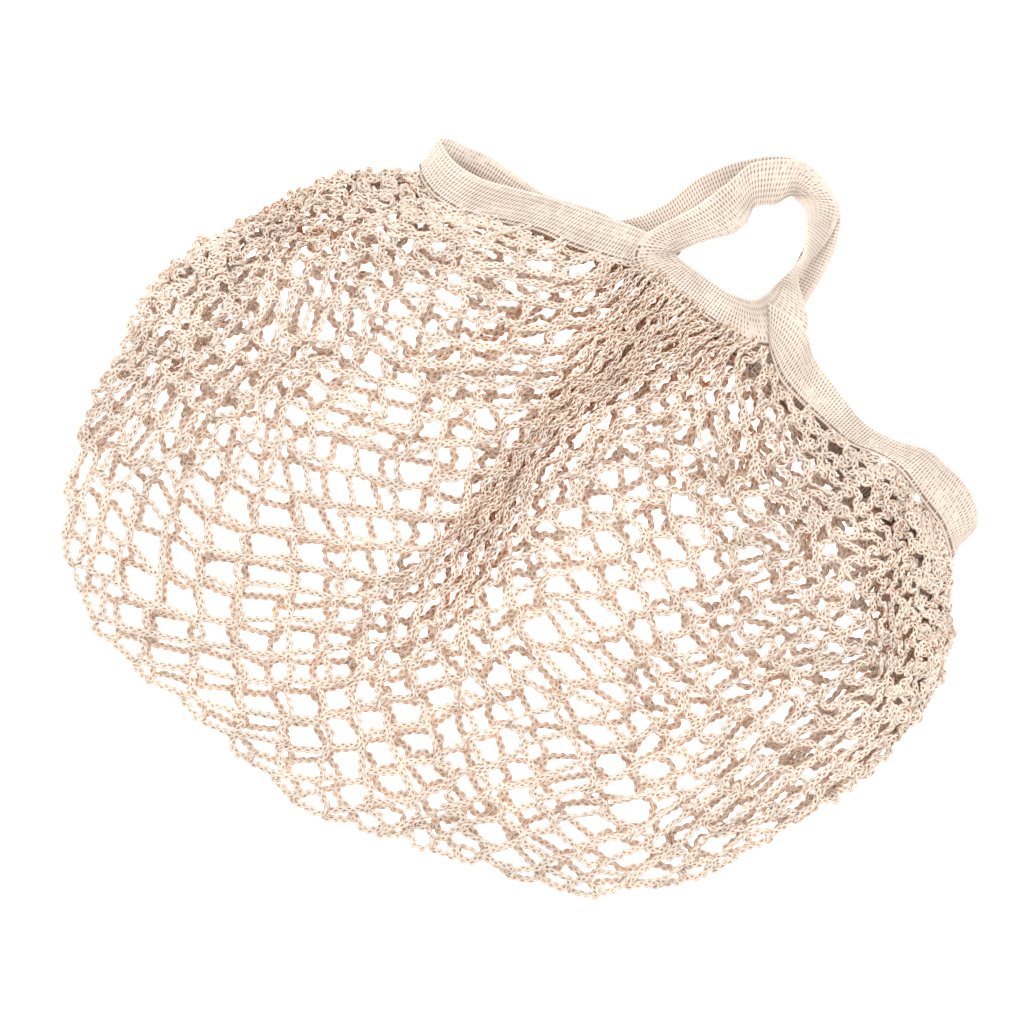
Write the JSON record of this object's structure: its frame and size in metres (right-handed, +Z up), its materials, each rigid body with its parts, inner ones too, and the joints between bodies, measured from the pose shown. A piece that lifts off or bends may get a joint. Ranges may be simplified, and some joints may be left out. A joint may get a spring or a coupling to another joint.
{
  "type": "string shopping bag",
  "caption": "Knotless cotton net bag with a woven tape bound round its mouth and short tape carrying loops, lying flat on its side.",
  "frame": {"origin": "on the ground under the middle of the whole bag as it lies", "axes": "+X along the bag's mouth, +Y from the foot of the net towards the carrying loops, +Z up out of the front layer"},
  "size_m": [0.4982, 0.4684, 0.0247],
  "materials": {
    "net_cotton": "undyed chain-knitted cotton cord, matt",
    "tape_cotton": "undyed open woven cotton tape, matt"
  },
  "bodies": {
    "root": {"net_body": "net_cotton", "band_left": "tape_cotton", "band_right": "tape_cotton", "handle_front": "tape_cotton", "handle_back": "tape_cotton"}
  },
  "joints": []
}
